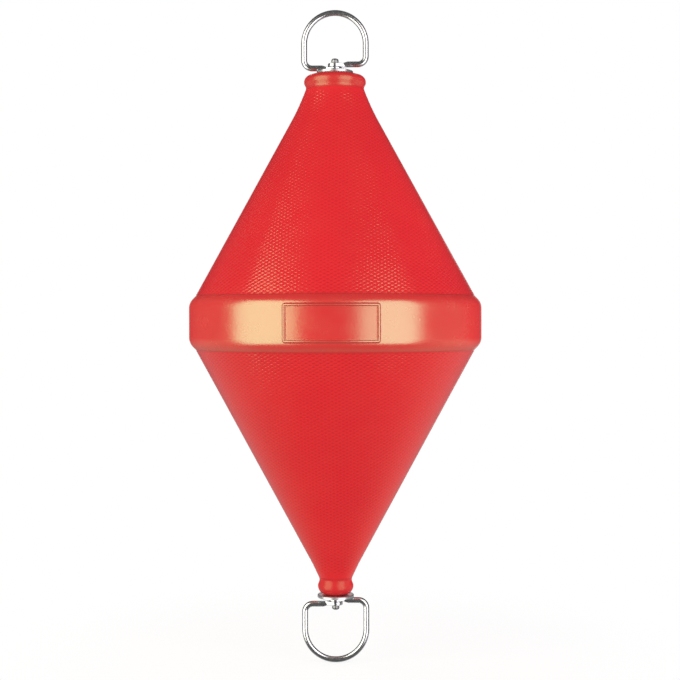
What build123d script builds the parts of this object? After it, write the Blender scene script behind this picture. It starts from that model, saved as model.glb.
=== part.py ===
"""Biconical marker buoy: a hollow moulded hull on a through rod, with a swivelling wire ring at each end.

Lengths are millimetres and angles degrees. The origin is on the axis at mid-belt, where the hull floats,
+Z is up, and the belt panel faces -Y.
"""
import os
from math import atan2, cos, hypot, radians, sin, tan

from build123d import *

# Hull belt
belt_radius = 200.0
belt_height = 73.2  # from crease to crease
belt_overhang = 9.2  # how far the belt stands out past the cones
shoulder_round = 19.0

# Hull cones and necks
crown_level = 340.6  # flat seat at the top of the hull
crown_radius = 42.3
crown_seat_radius = 26.0
crown_drop = 4.0  # fall of the crown from its seat to its rim
crown_round = 8.5
crown_rim_height = 13.0  # from the seat down to the bottom of the rim
upper_throat_radius = 39.3
upper_throat_depth = 19.0  # from the seat down to the throat under the rim
upper_throat_round = 5.0
flare_height = 26.0  # from the throat down to where the flare's slope meets the cone's
flare_spread = 9.6  # how far the flare opens out over that height
flare_share = 0.85  # of the flare that its long round takes up
foot_level = -373.9  # flat seat at the bottom of the hull
foot_radius = 24.4
foot_round = 11.5
foot_bead_height = 13.0
lower_throat_radius = 21.6
lower_throat_depth = 20.5  # from the seat up to the throat above the bead
lower_throat_round = 8.0
lower_flare_height = 22.0  # from the throat up to where the cone steepens
lower_flare_spread = 10.2  # how far the cone opens out over that height
rim_round = 3.5  # at the bottom of the crown's rim and the top of the foot's bead

# Hull wall and the moulded tube for the rod
wall = 4.0
rod_radius = 4.0
rod_fit = 0.3

# Panel framed by a raised rib on the belt
panel_width = 121.5
panel_height = 49.0
panel_corner = 3.5
rib_width = 3.4
rib_height = 0.9

# Washers and the heads of the rod
washer_radius = 25.0
washer_thickness = 4.0
seat_gap = 0.2
head_radius = 5.0
head_height = 6.5
head_round = 2.8

# Wire rings
wire_radius = 4.0
running_gap = 0.3  # between the stacked eyes, the washer and the head
eye_fit = 0.4
eye_outer_radius = 9.6
eye_thickness = 5.0  # of the wire where its end is flattened
eye_tail = 12.5  # from the rod to the centre of the narrow end of a flattened eye
eye_tail_radius = 3.2
eye_edge_round = 0.8
ramp_start = 18.0  # from the rod to where the round wire begins to flatten
ramp_end = 11.0
ring_half_width = 42.3  # to the centre of a leg, and the radius of the bow
top_ring_height = 84.0  # from the washer to the outside of the bow
bottom_ring_height = 90.5
corner_bend = 11.0

# Levels that follow from the sizes
bore_radius = rod_radius + rod_fit
crease_level = belt_height / 2
crease_radius = belt_radius - belt_overhang
inner_eye_base = running_gap
outer_eye_base = inner_eye_base + eye_thickness + running_gap
top_washer_face = crown_level + seat_gap + washer_thickness
bottom_washer_face = foot_level - seat_gap - washer_thickness
stack_height = outer_eye_base + eye_thickness + running_gap

os.makedirs("parts", exist_ok=True)


def save(part, name):
    """Label a sub-part and write its STEP file."""
    part.label = name
    export_step(part, f"parts/{name}.step")


def round_corner(profile, corner, radius):
    """Fillet the corner of a profile nearest to a point."""
    fillet(profile.vertices().sort_by_distance(corner)[0], radius)


# Panel rib: an upright frame cut down to a thin curved layer that stands out from the belt's face
with BuildPart() as panel_rib:
    with BuildSketch(Plane.XZ):
        RectangleRounded(panel_width, panel_height, panel_corner)
        RectangleRounded(
            panel_width - 2 * rib_width,
            panel_height - 2 * rib_width,
            panel_corner - rib_width / 2,
            mode=Mode.SUBTRACT,
        )
    extrude(amount=belt_radius + wall)
    Cylinder(belt_radius + rib_height, 2 * belt_height, mode=Mode.INTERSECT)
    Cylinder(belt_radius - wall / 2, 2 * belt_height, mode=Mode.SUBTRACT)

# Shell: the outer profile less its own inward offset, turned about the axis, leaves hull wall and rod tube
belt_corner = crease_level - belt_overhang
crown_rim_level = crown_level - crown_rim_height
foot_bead_level = foot_level + foot_bead_height
foot_corner = (foot_radius, foot_level)
foot_bead_corner = (foot_radius, foot_bead_level)
lower_throat = (lower_throat_radius, foot_level + lower_throat_depth)
lower_flare_corner = (lower_throat_radius + lower_flare_spread, lower_throat[1] + lower_flare_height)
lower_belt_corner = (belt_radius, -belt_corner)
upper_belt_corner = (belt_radius, belt_corner)
upper_throat = (upper_throat_radius, crown_level - upper_throat_depth)
flare_corner = (upper_throat_radius + flare_spread, upper_throat[1] - flare_height)
cone_lean = atan2(crease_radius - flare_corner[0], flare_corner[1] - crease_level)
flare_turn = cone_lean - atan2(flare_spread, flare_height)
flare_round = flare_share * hypot(flare_spread, flare_height) / tan(flare_turn / 2)
crown_rim_corner = (crown_radius, crown_rim_level)
crown_corner = (crown_radius, crown_level - crown_drop)

with BuildPart() as shell:
    with BuildSketch(Plane.XZ) as hull_section:
        with BuildLine():
            Polyline(
                (bore_radius, foot_level),
                foot_corner,
                foot_bead_corner,
                lower_throat,
                lower_flare_corner,
                (crease_radius, -crease_level),
                lower_belt_corner,
                upper_belt_corner,
                (crease_radius, crease_level),
                flare_corner,
                upper_throat,
                crown_rim_corner,
                crown_corner,
                (crown_seat_radius, crown_level),
                (bore_radius, crown_level),
                close=True,
            )
        make_face()
        round_corner(hull_section, foot_corner, foot_round)
        round_corner(hull_section, foot_bead_corner, rim_round)
        round_corner(hull_section, lower_throat, lower_throat_round)
        round_corner(hull_section, lower_belt_corner, shoulder_round)
        round_corner(hull_section, upper_belt_corner, shoulder_round)
        round_corner(hull_section, flare_corner, flare_round)
        round_corner(hull_section, upper_throat, upper_throat_round)
        round_corner(hull_section, crown_rim_corner, rim_round)
        round_corner(hull_section, crown_corner, crown_round)
        offset(amount=-wall, mode=Mode.SUBTRACT)
    revolve(axis=Axis.Z)
    add(panel_rib.part)
save(shell.part, "shell")

# Through rod: a straight rod with a peened head beyond each ring
with BuildPart() as through_rod:
    with BuildSketch(Plane.XZ) as rod_section:
        with BuildLine():
            Polyline(
                (0, bottom_washer_face - stack_height - head_height),
                (head_radius, bottom_washer_face - stack_height - head_height),
                (head_radius, bottom_washer_face - stack_height),
                (rod_radius, bottom_washer_face - stack_height),
                (rod_radius, top_washer_face + stack_height),
                (head_radius, top_washer_face + stack_height),
                (head_radius, top_washer_face + stack_height + head_height),
                (0, top_washer_face + stack_height + head_height),
                close=True,
            )
        make_face()
        round_corner(rod_section, (head_radius, bottom_washer_face - stack_height - head_height), head_round)
        round_corner(rod_section, (head_radius, top_washer_face + stack_height + head_height), head_round)
    revolve(axis=Axis.Z)
save(through_rod.part, "through_rod")

# Washers: one plate at each end spreads the ring's load on the hull's seat
for name, face in (("top_washer", top_washer_face - washer_thickness), ("bottom_washer", bottom_washer_face)):
    with BuildPart() as washer:
        with BuildSketch(Plane.XY.offset(face)):
            Circle(washer_radius)
            Circle(bore_radius, mode=Mode.SUBTRACT)
        extrude(amount=washer_thickness)
        chamfer(washer.edges().filter_by(GeomType.CIRCLE).group_by(SortBy.RADIUS)[-1], washer_thickness / 6)
    save(washer.part, name)


def bend(centre, radius, start, turn):
    """Arc of the wire's centre line in the ring's own upright plane."""
    angles = (radians(start), radians(start + turn / 2), radians(start + turn))
    ThreePointArc(*[(centre[0] + radius * cos(angle), 0, centre[1] + radius * sin(angle)) for angle in angles])


def flattened_eye(side, base):
    """Teardrop plate at the end of a bar, on the side (-1 or 1) that the bar comes from."""
    with BuildPart() as eye:
        with BuildSketch(Plane.XY.offset(base)):
            Circle(eye_outer_radius)
            with Locations((side * eye_tail, 0)):
                Circle(eye_tail_radius)
            make_hull()
        extrude(amount=eye_thickness)
        rims = eye.faces().filter_by(Axis.Z).edges()
        fillet(rims, eye_edge_round)
    return eye.part


def flattening(side, base):
    """Wedge that takes a bar's end down from the round wire to the top of its flattened eye."""
    eye_top = base + eye_thickness
    wire_top = base + 2 * wire_radius
    slope = (wire_top - eye_top) / (ramp_start - ramp_end)
    beyond = ramp_start + wire_radius
    with BuildPart() as wedge:
        with BuildSketch(Plane.XZ):
            with BuildLine():
                Polyline(
                    (0, eye_top),
                    (side * ramp_end, eye_top),
                    (side * beyond, eye_top + slope * (beyond - ramp_end)),
                    (0, eye_top + slope * (beyond - ramp_end)),
                    close=True,
                )
            make_face()
        extrude(amount=2 * wire_radius, both=True)
    return wedge.part


def ring_wire(height):
    """One bent wire standing on the washer's face: bar, leg, bow, leg and bar, its flattened ends stacked."""
    inner_bar = inner_eye_base + wire_radius
    outer_bar = outer_eye_base + wire_radius
    corner_x = ring_half_width - corner_bend
    bow_level = height - wire_radius - ring_half_width
    with BuildPart() as ring:
        with BuildLine() as centre_line:
            Line((-ramp_end, 0, inner_bar), (-corner_x, 0, inner_bar))
            bend((-corner_x, inner_bar + corner_bend), corner_bend, 270, -90)
            Line((-ring_half_width, 0, inner_bar + corner_bend), (-ring_half_width, 0, bow_level))
            bend((0, bow_level), ring_half_width, 180, -180)
            Line((ring_half_width, 0, bow_level), (ring_half_width, 0, outer_bar + corner_bend))
            bend((corner_x, outer_bar + corner_bend), corner_bend, 0, -90)
            Line((corner_x, 0, outer_bar), (ramp_end, 0, outer_bar))
        wire = centre_line.wire()
        with BuildSketch(Plane(origin=wire @ 0, z_dir=wire % 0)):
            Circle(wire_radius)
        sweep(path=wire)
        for side, base in ((-1, inner_eye_base), (1, outer_eye_base)):
            add(flattening(side, base), mode=Mode.SUBTRACT)
            add(flattened_eye(side, base))
        Cylinder(rod_radius + eye_fit, 2 * stack_height, mode=Mode.SUBTRACT)
    return ring.part


save(Pos(0, 0, top_washer_face) * ring_wire(top_ring_height), "top_ring")
save(Pos(0, 0, bottom_washer_face) * Rot(0, 180, 0) * ring_wire(bottom_ring_height), "bottom_ring")
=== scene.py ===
"""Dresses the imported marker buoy: grained moulded hull, zinc on rod, washers and rings, studio and camera.

Shapes are worked out in millimetres in the part's own frame and put into meshes in metres. A turn is an angle
about the axis, 0 at the front (-Y) and growing towards +X.
"""

import bpy
import numpy as np
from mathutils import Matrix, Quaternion, Vector


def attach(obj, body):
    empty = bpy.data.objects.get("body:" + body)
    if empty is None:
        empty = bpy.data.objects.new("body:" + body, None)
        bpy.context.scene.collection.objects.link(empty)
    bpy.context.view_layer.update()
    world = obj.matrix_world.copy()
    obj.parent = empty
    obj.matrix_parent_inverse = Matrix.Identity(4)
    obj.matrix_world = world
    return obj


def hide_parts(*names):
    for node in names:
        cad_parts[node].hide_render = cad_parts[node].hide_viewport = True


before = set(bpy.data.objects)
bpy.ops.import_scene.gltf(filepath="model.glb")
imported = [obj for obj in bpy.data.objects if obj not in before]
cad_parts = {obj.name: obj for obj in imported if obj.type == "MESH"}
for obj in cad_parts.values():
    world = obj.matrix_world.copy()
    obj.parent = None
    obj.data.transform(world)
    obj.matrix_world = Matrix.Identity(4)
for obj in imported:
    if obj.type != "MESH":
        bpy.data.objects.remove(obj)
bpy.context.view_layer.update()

# Hull sizes, the same as the solid's
BELT_RADIUS = 200.0
CREASE_RADIUS = 190.8
CREASE_LEVEL = 36.6
SHOULDER_ROUND = 19.0
CROWN_LEVEL = 340.6
CROWN_RADIUS = 42.3
CROWN_SEAT_RADIUS = 26.0
CROWN_DROP = 4.0
CROWN_ROUND = 8.5
CROWN_RIM_LEVEL = 327.6
UPPER_THROAT_RADIUS = 39.3
UPPER_THROAT_LEVEL = 321.6
UPPER_THROAT_ROUND = 5.0
FLARE_HEIGHT = 26.0
FLARE_SPREAD = 9.6
FLARE_SHARE = 0.85
FOOT_LEVEL = -373.9
FOOT_RADIUS = 24.4
FOOT_ROUND = 11.5
FOOT_BEAD_LEVEL = -360.9
LOWER_THROAT_RADIUS = 21.6
LOWER_THROAT_LEVEL = -353.4
LOWER_THROAT_ROUND = 8.0
LOWER_FLARE_HEIGHT = 22.0
LOWER_FLARE_SPREAD = 10.2
RIM_ROUND = 3.5
BORE_RADIUS = 4.3
WALL = 4.0

# Panel framed by a raised rib on the belt
PANEL_WIDTH = 121.5
PANEL_HEIGHT = 49.0
PANEL_CORNER = 3.5
RIB_WIDTH = 3.4
RIB_HEIGHT = 0.9
RIB_SLOPE = 2.1  # width of each of its softened sides
RIB_FOOT = 0.8  # how far the sides spread past the solid's rib
RIB_MARGIN = 1.2  # of finer rows past the rib's edges
RIB_TURNS = (-1.2, 0.4)  # degrees of finer columns about each end of the panel

# Diamond grain moulded into the cones
GRAIN_WIDTH = 9.1
GRAIN_HEIGHT = 5.25
GRAIN_RELIEF = 0.36  # beside the belt
GRAIN_REST = 0.68  # share of that relief over the rest of a cone
GRAIN_DEEP = 70.0  # distance from the belt over which it falls to that share
GRAIN_EDGE = 2.0  # plain edge along the belt and the parting lines
GRAIN_FADE = 14.0  # length over which it dies out at a neck
GRAIN_TOP = 318.0
GRAIN_BOTTOM = -349.0
GRAIN_COLUMNS = 330
GRAIN_SHADE = 0.6  # how dark the painted shade in its hollows is

# Painted shade along lines where surfaces meet: darker, and duller
CREASE_SHADE = 2.2  # reach from a crease
CREASE_DEPTH = 0.35  # how dark the painted shade in a crease is
CREASE_BAND = 3.0  # of finer rows beside a crease
RIB_SHADE = 1.2  # reach from the middle of a side of the rib
RIB_DEPTH = 0.55  # how dark the painted shade on the rib's sides is

# Parting line of the two mould halves
PARTING_WIDTH = 1.4
PARTING_HEIGHT = 0.15
PARTING_TURNS = (-0.5, 0.5)  # degrees of finer columns about it

# Colours of the plastic, of the painted shade in its grooves, and of its reflections
RED_BRIGHT = (0.77, 0.0225, 0.032)
RED_DULL = (0.72, 0.0185, 0.030)
# Colour of the painted shade in grooves, creases and on the rib's sides
RED_GROOVE_SHADE = (0.22, 0.004, 0.008)
SHEEN_TINT = (0.36, 1.0, 0.58)
PLASTIC_IOR = 2.0

# Edges sharper than this many degrees stay sharp in the shading
SHARP_ANGLE = 50.0

# Camera, in metres and degrees
CAMERA_DISTANCE = 1.83
CAMERA_TURN = 1.3
CAMERA_SIDE = 0.0064
CAMERA_HEIGHT = 0.0024
AIM_HEIGHT = -0.0237
CAMERA_LENS = 70.4
SENSOR_WIDTH = 36.0
CAMERA_ROLL = 0.08

# Floor
FLOOR_LEVEL = -469.0
FLOOR_RADIUS = 1500.0
FLOOR_GREY = 0.93
FLOOR_ALPHA = 0.18
FLOOR_FADE = (0.47, 0.75)  # metres from the origin over which it fades out

# Surround: light on the object, and what reflections show of a white backdrop and a pale ground
EVEN_LIGHT = 0.40
MIRROR_DARK = 0.05
BACKDROP_SPAN = (0.95, 0.985)  # of a ray's Y
GROUND_SHARE = 0.28
GROUND_FALL = (0.05, -0.35)  # of a ray's Z
GROUND_SPAN = (-0.5, 0.6)  # of a ray's Y


def add_piece(name, points, faces, material):
    """Mesh piece of the hull from an array of points in millimetres and its faces, shaded smooth."""
    mesh = bpy.data.meshes.new(name)
    mesh.from_pydata((points.reshape(-1, 3) * 0.001).tolist(), [], faces)
    mesh.polygons.foreach_set("use_smooth", np.ones(len(mesh.polygons), bool))
    mesh.update()
    mesh.set_sharp_from_angle(angle=np.radians(SHARP_ANGLE))
    piece = bpy.data.objects.new(name, mesh)
    bpy.context.scene.collection.objects.link(piece)
    mesh.materials.append(material)
    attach(piece, "hull")
    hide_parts("shell")
    return piece


def mark_points(piece, name, values):
    """Store a value on each point of a piece for its material to read."""
    mark = piece.data.attributes.new(name, "FLOAT", "POINT")
    mark.data.foreach_set("value", values.astype(np.float32).ravel())


def grid_quads(rows, columns, close_rows=False, close_columns=False):
    """Quads of a grid of points: each joins a point to its neighbours in the next column and row."""
    row = np.arange(rows if close_rows else rows - 1)[:, None]
    column = np.arange(columns if close_columns else columns - 1)[None, :]
    next_row = (row + 1) % rows
    next_column = (column + 1) % columns
    corners = (row * columns + column, row * columns + next_column,
               next_row * columns + next_column, next_row * columns + column)
    return np.stack(corners, axis=-1).reshape(-1, 4)


def lathe(radius, level, turn):
    """Points at a radius and level for each turn: (radius sin turn, -radius cos turn, level)."""
    radius, level, turn = np.broadcast_arrays(radius, level, turn)
    return np.stack((radius * np.sin(turn), -radius * np.cos(turn), level), axis=-1)


def smooth_step(value):
    """0 below 0, 1 above 1, and the cubic 3v^2 - 2v^3 between."""
    value = np.clip(value, 0.0, 1.0)
    return value * value * (3.0 - 2.0 * value)


def rounded_profile(corners, rounds, arc_points=14):
    """Run of corner points with each rounded corner replaced by the arc that touches its two sides.

    The arc's centre lies on the corner's bisector, at round / sin(half angle) from the corner.
    """
    corners = np.array(corners, float)
    run = [corners[:1]]
    for before, corner, after, radius in zip(corners[:-2], corners[1:-1], corners[2:], rounds):
        if radius == 0.0:
            run.append(corner[None, :])
            continue
        back = (before - corner) / np.linalg.norm(before - corner)
        ahead = (after - corner) / np.linalg.norm(after - corner)
        half = 0.5 * np.arccos(np.dot(back, ahead))
        middle = (back + ahead) / np.linalg.norm(back + ahead)
        centre = corner + middle * radius / np.sin(half)
        start = corner + back * radius / np.tan(half) - centre
        sweep = np.pi - 2.0 * half
        side = np.sign(back[1] * ahead[0] - back[0] * ahead[1])
        angle = np.arctan2(start[1], start[0]) + side * np.linspace(0.0, sweep, arc_points)
        run.append(centre + radius * np.stack((np.cos(angle), np.sin(angle)), axis=-1))
    run.append(corners[-1:])
    return np.concatenate(run)


# Shared shader groups


def new_group(name, inputs, outputs):
    """Empty shader node group with named float or colour sockets, and its input and output nodes."""
    group = bpy.data.node_groups.new(name, "ShaderNodeTree")
    for label, kind, value in inputs:
        socket = group.interface.new_socket(label, in_out="INPUT", socket_type=kind)
        socket.default_value = value
    for label, kind in outputs:
        group.interface.new_socket(label, in_out="OUTPUT", socket_type=kind)
    return group, group.nodes.new("NodeGroupInput"), group.nodes.new("NodeGroupOutput")


def make_mottle_group():
    """Soft uneven patches on Object coordinates: two octaves of noise, spread about a middle value."""
    group, entry, leave = new_group(
        "mottle",
        (
            ("Scale", "NodeSocketFloat", 12.0),
            ("Low", "NodeSocketFloat", 0.0),
            ("High", "NodeSocketFloat", 1.0),
        ),
        (("Value", "NodeSocketFloat"),),
    )
    place = group.nodes.new("ShaderNodeTexCoord")
    noise = group.nodes.new("ShaderNodeTexNoise")
    noise.inputs["Detail"].default_value = 3.0
    noise.inputs["Roughness"].default_value = 0.55
    spread = group.nodes.new("ShaderNodeMapRange")
    spread.interpolation_type = "SMOOTHSTEP"
    spread.inputs["From Min"].default_value = 0.2
    spread.inputs["From Max"].default_value = 0.8
    group.links.new(place.outputs["Object"], noise.inputs["Vector"])
    group.links.new(entry.outputs["Scale"], noise.inputs["Scale"])
    group.links.new(noise.outputs["Fac"], spread.inputs["Value"])
    group.links.new(entry.outputs["Low"], spread.inputs["To Min"])
    group.links.new(entry.outputs["High"], spread.inputs["To Max"])
    group.links.new(spread.outputs["Result"], leave.inputs["Value"])
    return group


MOTTLE = make_mottle_group()


def start_material(name):
    """Material with an empty node tree but for its Principled shader and output."""
    material = bpy.data.materials.new(name)
    material.use_nodes = True
    nodes = material.node_tree.nodes
    return material, nodes, material.node_tree.links, nodes["Principled BSDF"]


def place_mottle(nodes, scale, low, high):
    """One use of the mottle group with its own patch size and range."""
    node = nodes.new("ShaderNodeGroup")
    node.node_tree = MOTTLE
    node.inputs["Scale"].default_value = scale
    node.inputs["Low"].default_value = low
    node.inputs["High"].default_value = high
    return node.outputs["Value"]


def blend_colours(nodes, links, factor, first, second):
    """Colour between two others by a factor."""
    mix = nodes.new("ShaderNodeMix")
    mix.data_type = "RGBA"
    mix.inputs["A"].default_value = (*first, 1.0)
    mix.inputs["B"].default_value = (*second, 1.0)
    links.new(factor, mix.inputs["Factor"])
    return mix.outputs["Result"]


def read_mark(nodes, name):
    """Value that a piece carries on its points; 0 on a piece without it."""
    mark = nodes.new("ShaderNodeAttribute")
    mark.attribute_name = name
    return mark.outputs["Fac"]


def smooth_range(nodes, links, value, span, results):
    """Value carried smoothly from the ends of a span to two results, and held beyond them."""
    node = nodes.new("ShaderNodeMapRange")
    node.interpolation_type = "SMOOTHSTEP"
    node.inputs["From Min"].default_value, node.inputs["From Max"].default_value = span
    node.inputs["To Min"].default_value, node.inputs["To Max"].default_value = results
    links.new(value, node.inputs["Value"])
    return node.outputs["Result"]


def add_share(nodes, links, value, share, more):
    """Value plus a share of another."""
    total = nodes.new("ShaderNodeMath")
    total.operation = "MULTIPLY_ADD"
    total.inputs[1].default_value = share
    links.new(more, total.inputs[0])
    links.new(value, total.inputs[2])
    return total.outputs["Value"]


def add_bump(nodes, links, shader, height, strength, distance):
    """Small relief in the shading from a height value."""
    bump = nodes.new("ShaderNodeBump")
    bump.inputs["Strength"].default_value = strength
    bump.inputs["Distance"].default_value = distance
    links.new(height, bump.inputs["Height"])
    links.new(bump.outputs["Normal"], shader.inputs["Normal"])


def make_hull_plastic(name, roughness, gloss, depth):
    """Red moulded polyethylene: uneven colour, patchy sheen, faint orange peel; painted shade, darker and
    duller, where a piece marks grooves.
    """
    material, nodes, links, shader = start_material(name)
    groove_shade = read_mark(nodes, "groove_shade")
    tint = place_mottle(nodes, scale=9.0, low=0.0, high=1.0)
    bright, dull = depth * np.array((RED_BRIGHT, RED_DULL))
    red = blend_colours(nodes, links, tint, bright, dull)
    # Painted shade: the red darkens towards the groove shade colour where a piece marks grooves
    groove_shading = nodes.new("ShaderNodeMix")
    groove_shading.data_type = "RGBA"
    groove_shading.inputs["B"].default_value = (*RED_GROOVE_SHADE, 1.0)
    links.new(groove_shade, groove_shading.inputs["Factor"])
    links.new(red, groove_shading.inputs["A"])
    links.new(groove_shading.outputs["Result"], shader.inputs["Base Color"])
    sheen = place_mottle(nodes, scale=30.0, low=roughness - 0.03, high=roughness + 0.03)
    links.new(add_share(nodes, links, sheen, 0.1, groove_shade), shader.inputs["Roughness"])
    shader.inputs["Specular IOR Level"].default_value = gloss
    shader.inputs["IOR"].default_value = PLASTIC_IOR
    shader.inputs["Specular Tint"].default_value = (*SHEEN_TINT, 1.0)
    peel = place_mottle(nodes, scale=420.0, low=0.0, high=1.0)
    add_bump(nodes, links, shader, peel, strength=0.12, distance=0.0003)
    return material


def make_zinc(name, bright, dark, roughness):
    """Zinc on steel: metal with faint grey patches and an uneven polish."""
    material, nodes, links, shader = start_material(name)
    patch = place_mottle(nodes, scale=160.0, low=0.0, high=1.0)
    links.new(blend_colours(nodes, links, patch, bright, dark), shader.inputs["Base Color"])
    polish = place_mottle(nodes, scale=300.0, low=roughness - 0.06, high=roughness + 0.08)
    links.new(polish, shader.inputs["Roughness"])
    shader.inputs["Metallic"].default_value = 0.96
    pits = place_mottle(nodes, scale=900.0, low=0.0, high=1.0)
    add_bump(nodes, links, shader, pits, strength=0.03, distance=0.0002)
    return material


# depth scales each copy's red down; the crown's and foot's lower depth is painted shade that keeps these
# necks no lighter than the cones
cone_plastic = make_hull_plastic("grained_red_plastic", roughness=0.17, gloss=0.42, depth=0.86)
belt_plastic = make_hull_plastic("smooth_red_plastic", roughness=0.26, gloss=1.0, depth=0.87)
panel_plastic = make_hull_plastic("panel_red_plastic", roughness=0.25, gloss=0.72, depth=0.80)
crown_plastic = make_hull_plastic("worn_shaded_red_plastic", roughness=0.30, gloss=0.4, depth=0.71)
foot_plastic = make_hull_plastic("scuffed_shaded_red_plastic", roughness=0.30, gloss=0.2, depth=0.70)


# Outlines of the hull above and below the belt, from the crease to the rod's bore

flare_corner = (UPPER_THROAT_RADIUS + FLARE_SPREAD, UPPER_THROAT_LEVEL - FLARE_HEIGHT)
cone_lean = np.arctan2(CREASE_RADIUS - flare_corner[0], flare_corner[1] - CREASE_LEVEL)
flare_turn = cone_lean - np.arctan2(FLARE_SPREAD, FLARE_HEIGHT)
flare_round = FLARE_SHARE * np.hypot(FLARE_SPREAD, FLARE_HEIGHT) / np.tan(flare_turn / 2)
upper_outline = rounded_profile(
    (
        (CREASE_RADIUS, CREASE_LEVEL),
        flare_corner,
        (UPPER_THROAT_RADIUS, UPPER_THROAT_LEVEL),
        (CROWN_RADIUS, CROWN_RIM_LEVEL),
        (CROWN_RADIUS, CROWN_LEVEL - CROWN_DROP),
        (CROWN_SEAT_RADIUS, CROWN_LEVEL),
        (BORE_RADIUS, CROWN_LEVEL),
    ),
    (flare_round, UPPER_THROAT_ROUND, RIM_ROUND, CROWN_ROUND, 0.0),
)
lower_outline = rounded_profile(
    (
        (CREASE_RADIUS, -CREASE_LEVEL),
        (LOWER_THROAT_RADIUS + LOWER_FLARE_SPREAD, LOWER_THROAT_LEVEL + LOWER_FLARE_HEIGHT),
        (LOWER_THROAT_RADIUS, LOWER_THROAT_LEVEL),
        (FOOT_RADIUS, FOOT_BEAD_LEVEL),
        (FOOT_RADIUS, FOOT_LEVEL),
        (BORE_RADIUS, FOOT_LEVEL),
    ),
    (0.0, LOWER_THROAT_ROUND, RIM_ROUND, FOOT_ROUND),
)


def split_outline(outline, level):
    """Part of an outline before a level and part after it, each with the point at that level as its end."""
    height = np.abs(outline[:, 1])
    before = height < abs(level)
    count = int(np.argmin(before))
    share = (abs(level) - height[count - 1]) / (height[count] - height[count - 1])
    point = outline[count - 1] + share * (outline[count] - outline[count - 1])
    return np.vstack((outline[:count], point)), np.vstack((point, outline[count:]))


upper_cone, upper_neck = split_outline(upper_outline, GRAIN_TOP)
lower_cone, lower_neck = split_outline(lower_outline, GRAIN_BOTTOM)


# Grained cones, one piece for each mould half


def cone_half(name, outline, middle):
    """Half of a cone's wall as a closed shell: a grained outer face on a grid, and a plain back.

    The outline is walked in even steps of a quarter of the grain's height. The grain is the product of two
    cosine waves: one along the slant, and one across, where across = slant sin(turn sine of the cone's half
    angle) is the place on the cone's sheet laid flat. It stands out along the outline's normal, is highest
    beside the belt and fades at the piece's edges. Its hollows and the crease along the belt are marked as
    grooves that carry painted shade.
    """
    steps = np.hypot(*np.diff(outline, axis=0).T)
    walked = np.concatenate(((0.0,), np.cumsum(steps)))
    rows = int(walked[-1] / (GRAIN_HEIGHT / 4)) + 1
    along = np.linspace(0.0, walked[-1], rows)
    radius = np.interp(along, walked, outline[:, 0])
    level = np.interp(along, walked, outline[:, 1])
    way = np.sign(level[-1])
    fall = np.gradient(radius, along)
    rise = np.gradient(level, along)
    outward = np.stack((way * rise, -way * fall)) / np.hypot(rise, fall)
    sine = -fall[0]
    slant = (radius[0] / sine - along)[:, None]
    turn = np.linspace(-0.5 * np.pi, 0.5 * np.pi, GRAIN_COLUMNS)[None, :]
    across = slant * np.sin(turn * sine)
    wave = np.cos(2.0 * np.pi * across / GRAIN_WIDTH) * np.cos(2.0 * np.pi * along / GRAIN_HEIGHT)[:, None]
    to_parting = radius[:, None] * (0.5 * np.pi - np.abs(turn))
    fade = smooth_step(along / GRAIN_EDGE) * smooth_step((along[-1] - along) / GRAIN_FADE)
    wave = wave * fade[:, None] * smooth_step(to_parting / GRAIN_EDGE)
    wave = wave * (1.0 - (1.0 - GRAIN_REST) * smooth_step(along / GRAIN_DEEP))[:, None]
    height = GRAIN_RELIEF * wave
    face_radius = radius[:, None] + outward[0][:, None] * height
    face_level = level[:, None] + outward[1][:, None] * height
    face = lathe(face_radius, face_level, turn + middle)
    ends = np.array((-1, 0))
    back_radius = (radius - WALL * outward[0])[ends][:, None]
    back_level = (level - WALL * outward[1])[ends][:, None]
    back = lathe(back_radius, back_level, turn + middle)
    points = np.concatenate((face, back))
    quads = grid_quads(rows + 2, GRAIN_COLUMNS, close_rows=True)
    column = np.arange(rows + 2) * GRAIN_COLUMNS
    sides = [column[::-1].tolist(), (column + GRAIN_COLUMNS - 1).tolist()]
    faces = quads.tolist() + sides
    if way < 0.0:
        faces = [corners[::-1] for corners in faces]
    piece = add_piece(name, points, faces, cone_plastic)
    # Painted shade along the crease and in the grain's hollows
    crease_shading = CREASE_DEPTH * (1.0 - smooth_step(along / CREASE_SHADE)[:, None])
    groove_shade = np.zeros(points.shape[:2])
    groove_shade[:-2] = np.maximum(crease_shading, GRAIN_SHADE * np.clip(-wave, 0.0, 1.0))
    mark_points(piece, "groove_shade", groove_shade)


for half, middle in (("front", 0.0), ("back", np.pi)):
    cone_half(f"upper_cone_{half}", upper_cone, middle)
    cone_half(f"lower_cone_{half}", lower_cone, middle)


# Belt with its outlined panel


def panel_distance(x, level):
    """Signed distance from the panel's outline, a rounded rectangle; negative inside it."""
    over_x = np.abs(x) - PANEL_WIDTH / 2 + PANEL_CORNER
    over_z = np.abs(level) - PANEL_HEIGHT / 2 + PANEL_CORNER
    outside = np.hypot(np.maximum(over_x, 0.0), np.maximum(over_z, 0.0))
    return outside + np.minimum(np.maximum(over_x, over_z), 0.0) - PANEL_CORNER


def belt_radius_at(level):
    """Belt's outer radius at a level: straight face, a round, then a slope of 45 degrees to the crease."""
    corner = CREASE_LEVEL - (BELT_RADIUS - CREASE_RADIUS)
    reach = SHOULDER_ROUND * np.tan(np.pi / 8)
    height = np.abs(level)
    into = np.clip(height - (corner - reach), 0.0, SHOULDER_ROUND)
    arc = BELT_RADIUS - SHOULDER_ROUND + np.sqrt(SHOULDER_ROUND**2 - into**2)
    slope = CREASE_RADIUS + CREASE_LEVEL - height
    return np.where(height > corner + reach * np.cos(np.pi / 4), slope, arc)


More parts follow.
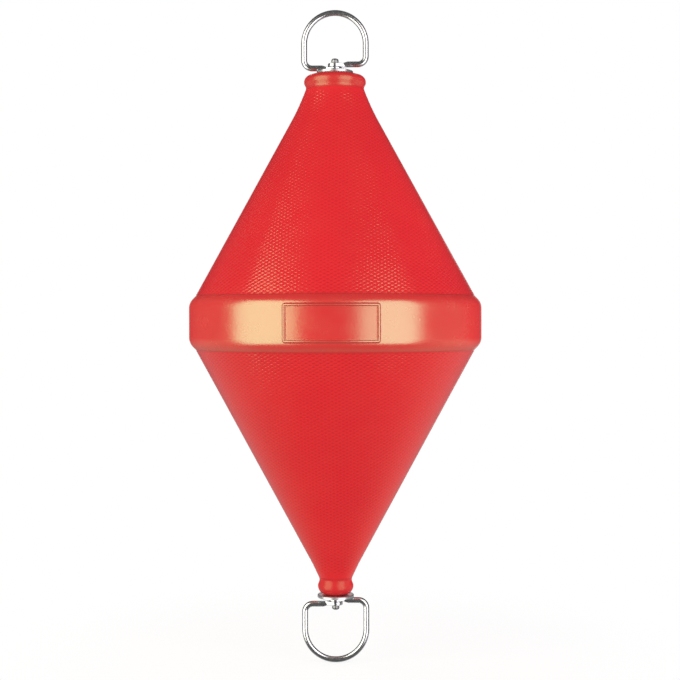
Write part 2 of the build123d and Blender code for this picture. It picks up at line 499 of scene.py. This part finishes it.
def build_belt():
    """Belt as a closed ring on turn and level: the belt's profile plus the panel's rib and the parting lines.

    Inside the rib the face has the panel's own finish. The creases and the rib's sides are marked as grooves
    that carry painted shade.
    """
    edge = PANEL_HEIGHT / 2
    over_rib = np.linspace(-RIB_MARGIN, RIB_WIDTH + RIB_MARGIN, 21)
    by_crease = np.linspace(0.0, CREASE_BAND, 9)
    even = np.linspace(-CREASE_LEVEL, CREASE_LEVEL, 61)
    level = np.concatenate(
        (even, CREASE_LEVEL - by_crease, by_crease - CREASE_LEVEL, edge - over_rib, over_rib - edge)
    )
    level = np.unique(np.round(level, 4))
    edge_turn = np.arcsin(PANEL_WIDTH / 2 / BELT_RADIUS)
    fine = np.radians(np.linspace(*RIB_TURNS, 33))
    parting = np.radians(np.linspace(*PARTING_TURNS, 11))
    coarse = np.radians(np.arange(-180.0, 180.0, 1.0))
    turn = np.concatenate(
        (coarse, edge_turn + fine, -edge_turn - fine, np.pi / 2 + parting, -np.pi / 2 + parting)
    )
    turn = np.unique(np.round(turn, 6))
    radius = belt_radius_at(level)[:, None]
    across = BELT_RADIUS * np.sin(turn)[None, :]
    distance = panel_distance(across, level[:, None])
    front = np.cos(turn)[None, :] > 0.0
    on_rib = 0.5 * RIB_WIDTH + RIB_FOOT - np.abs(distance + 0.5 * RIB_WIDTH)
    top_of_rib = BELT_RADIUS + RIB_HEIGHT - radius
    rib = np.where(front, top_of_rib * smooth_step(on_rib / RIB_SLOPE), 0.0)
    off_parting = BELT_RADIUS * np.abs(np.abs(turn) - np.pi / 2)[None, :]
    ridge = PARTING_HEIGHT * smooth_step(1.0 - off_parting / (0.5 * PARTING_WIDTH))
    face = lathe(radius + rib + ridge, level[:, None], turn[None, :])
    back_level = np.array((CREASE_LEVEL, -CREASE_LEVEL))[:, None]
    back = lathe(CREASE_RADIUS - WALL, back_level, turn[None, :])
    points = np.concatenate((face, back))
    faces = grid_quads(len(level) + 2, len(turn), close_rows=True, close_columns=True).tolist()
    belt = add_piece("belt", points, faces, belt_plastic)
    belt.data.materials.append(panel_plastic)
    in_panel = np.zeros(points.shape[:2], int)
    in_panel[:-2] = front & (distance < -RIB_WIDTH - RIB_FOOT)
    belt.data.polygons.foreach_set("material_index", in_panel.ravel())
    # Painted shade along the creases and on the rib's sides
    to_crease = (CREASE_LEVEL - np.abs(level))[:, None]
    to_side = np.abs(on_rib - 0.5 * RIB_SLOPE)
    rib_side_shading = np.where(front, RIB_DEPTH * (1.0 - smooth_step(to_side / RIB_SHADE)), 0.0)
    groove_shade = np.zeros(points.shape[:2])
    groove_shade[:-2] = np.maximum(rib_side_shading, CREASE_DEPTH * (1.0 - smooth_step(to_crease / CREASE_SHADE)))
    mark_points(belt, "groove_shade", groove_shade)


build_belt()


# Crown and foot


def build_neck(name, outline, way, material):
    """Turned piece: an outline and a few points behind it, carried round the axis as a closed ring."""
    end_level = outline[-1, 1]
    inside = outline[:, 0].min(where=outline[:, 0] > 3 * BORE_RADIUS, initial=BELT_RADIUS) - WALL
    behind = np.array((
        (BORE_RADIUS, end_level - way * WALL),
        (inside, end_level - way * 2 * WALL),
        (inside, outline[0, 1] + way * 2 * WALL),
        (outline[0, 0] - WALL, outline[0, 1]),
    ))
    profile = np.concatenate((outline, behind))
    turn = np.linspace(-np.pi, np.pi, 161)[None, :-1]
    points = lathe(profile[:, :1], profile[:, 1:], turn)
    faces = grid_quads(len(profile), turn.shape[1], close_rows=True, close_columns=True)
    if way < 0.0:
        faces = faces[:, ::-1]
    add_piece(name, points, faces.tolist(), material)


build_neck("crown", upper_neck, 1.0, crown_plastic)
build_neck("foot", lower_neck, -1.0, foot_plastic)

# Metal parts keep their solids and get their finishes

wire_zinc = make_zinc("bright_zinc_wire", (0.82, 0.84, 0.85), (0.66, 0.68, 0.70), 0.19)
plate_zinc = make_zinc("zinc_plate", (0.84, 0.85, 0.87), (0.72, 0.73, 0.75), 0.36)
rod_zinc = make_zinc("peened_zinc_rod", (0.46, 0.47, 0.48), (0.26, 0.27, 0.28), 0.42)
for node, finish in (
    ("top_ring", wire_zinc),
    ("bottom_ring", wire_zinc),
    ("top_washer", plate_zinc),
    ("bottom_washer", plate_zinc),
    ("through_rod", rod_zinc),
):
    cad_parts[node].data.materials.clear()
    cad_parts[node].data.materials.append(finish)


# Studio


def build_floor():
    """Pale floor disc on a grid of turn and distance, fading out towards its rim into the white surround."""
    turn = np.linspace(-np.pi, np.pi, 97)[None, :-1]
    distance = np.linspace(1.0, FLOOR_RADIUS, 12)[:, None]
    points = lathe(distance, FLOOR_LEVEL, turn)
    faces = grid_quads(*points.shape[:2], close_columns=True)
    mesh = bpy.data.meshes.new("floor")
    mesh.from_pydata((points.reshape(-1, 3) * 0.001).tolist(), [], faces.tolist())
    floor = bpy.data.objects.new("floor", mesh)
    bpy.context.scene.collection.objects.link(floor)
    material, nodes, links, shader = start_material("pale_floor")
    shader.inputs["Base Color"].default_value = (FLOOR_GREY, FLOOR_GREY, FLOOR_GREY, 1.0)
    shader.inputs["Roughness"].default_value = 0.9
    shader.inputs["Specular IOR Level"].default_value = 0.0
    place = nodes.new("ShaderNodeTexCoord")
    reach = nodes.new("ShaderNodeVectorMath")
    reach.operation = "LENGTH"
    links.new(place.outputs["Object"], reach.inputs[0])
    fade = smooth_range(nodes, links, reach.outputs["Value"], FLOOR_FADE, (FLOOR_ALPHA, 0.0))
    links.new(fade, shader.inputs["Alpha"])
    mesh.materials.append(material)
    floor.visible_glossy = False


def build_surround():
    """World: white to the camera, even light on the part; reflections see a dark room and pale ground."""
    world = bpy.data.worlds.new("studio")
    bpy.context.scene.world = world
    world.use_nodes = True
    world.cycles.sampling_method = "NONE"
    nodes = world.node_tree.nodes
    links = world.node_tree.links
    background = nodes["Background"]
    path = nodes.new("ShaderNodeLightPath")
    place = nodes.new("ShaderNodeTexCoord")
    ray = nodes.new("ShaderNodeSeparateXYZ")
    links.new(place.outputs["Generated"], ray.inputs["Vector"])
    backdrop = smooth_range(nodes, links, ray.outputs["Y"], BACKDROP_SPAN, (MIRROR_DARK, 1.0))
    below = smooth_range(nodes, links, ray.outputs["Z"], GROUND_FALL, (0.0, GROUND_SHARE))
    beyond = smooth_range(nodes, links, ray.outputs["Y"], GROUND_SPAN, (0.0, 1.0))
    ground = nodes.new("ShaderNodeMath")
    ground.operation = "MULTIPLY_ADD"
    links.new(below, ground.inputs[0])
    links.new(beyond, ground.inputs[1])
    links.new(backdrop, ground.inputs[2])
    mirror = nodes.new("ShaderNodeMix")
    mirror.inputs["A"].default_value = EVEN_LIGHT
    links.new(path.outputs["Is Glossy Ray"], mirror.inputs["Factor"])
    links.new(ground.outputs["Value"], mirror.inputs["B"])
    white = nodes.new("ShaderNodeMix")
    white.inputs["B"].default_value = 1.0
    links.new(path.outputs["Is Camera Ray"], white.inputs["Factor"])
    links.new(mirror.outputs["Result"], white.inputs["A"])
    links.new(white.outputs["Result"], background.inputs["Strength"])
    background.inputs["Color"].default_value = (1.0, 1.0, 1.0, 1.0)


def add_softbox(name, turn, rise, distance, size, power, colour, mirrored=True):
    """Broad soft light at a turn and rise in degrees, aimed at the middle; it may stay out of reflections."""
    light = bpy.data.lights.new(name, "AREA")
    light.shape = "RECTANGLE"
    light.size, light.size_y = size
    light.energy = power
    light.color = colour
    lamp = bpy.data.objects.new(name, light)
    lamp.visible_glossy = mirrored
    turn, rise = np.radians((turn, rise))
    place = Vector((np.sin(turn) * np.cos(rise), -np.cos(turn) * np.cos(rise), np.sin(rise))) * distance
    lamp.location = place
    lamp.rotation_mode = "QUATERNION"
    lamp.rotation_quaternion = (-place).to_track_quat("-Z", "Y")
    bpy.context.scene.collection.objects.link(lamp)


def add_camera():
    """Camera in front of the panel and level with the belt, aimed a little below it."""
    camera = bpy.data.objects.new("camera", bpy.data.cameras.new("camera"))
    camera.data.lens = CAMERA_LENS
    camera.data.sensor_width = SENSOR_WIDTH
    camera.data.clip_start = 0.01
    around = Quaternion((0.0, 0.0, 1.0), np.radians(CAMERA_TURN))
    place = around @ Vector((CAMERA_SIDE, -CAMERA_DISTANCE, CAMERA_HEIGHT))
    aim = around @ Vector((CAMERA_SIDE, 0.0, AIM_HEIGHT))
    camera.location = place
    camera.rotation_mode = "QUATERNION"
    look = (aim - place).to_track_quat("-Z", "Y")
    camera.rotation_quaternion = look @ Quaternion((0.0, 0.0, 1.0), np.radians(-CAMERA_ROLL))
    bpy.context.scene.collection.objects.link(camera)
    bpy.context.scene.camera = camera


build_floor()
build_surround()
add_softbox(
    "left_softbox", turn=-52.0, rise=4.0, distance=1.7, size=(1.6, 2.8),
    power=38.0, colour=(1.0, 0.96, 0.85),
)
add_softbox(
    "right_softbox", turn=42.0, rise=4.0, distance=1.7, size=(1.45, 2.8),
    power=33.0, colour=(1.0, 0.92, 0.93),
)
add_softbox(
    "back_left_softbox", turn=-125.0, rise=10.0, distance=1.9, size=(1.6, 2.0),
    power=22.0, colour=(1.0, 0.94, 0.88), mirrored=False,
)
add_softbox(
    "back_right_softbox", turn=105.0, rise=0.0, distance=1.9, size=(1.6, 2.0),
    power=26.0, colour=(1.0, 0.92, 0.92), mirrored=False,
)
add_camera()
bpy.context.scene.view_settings.view_transform = "Standard"
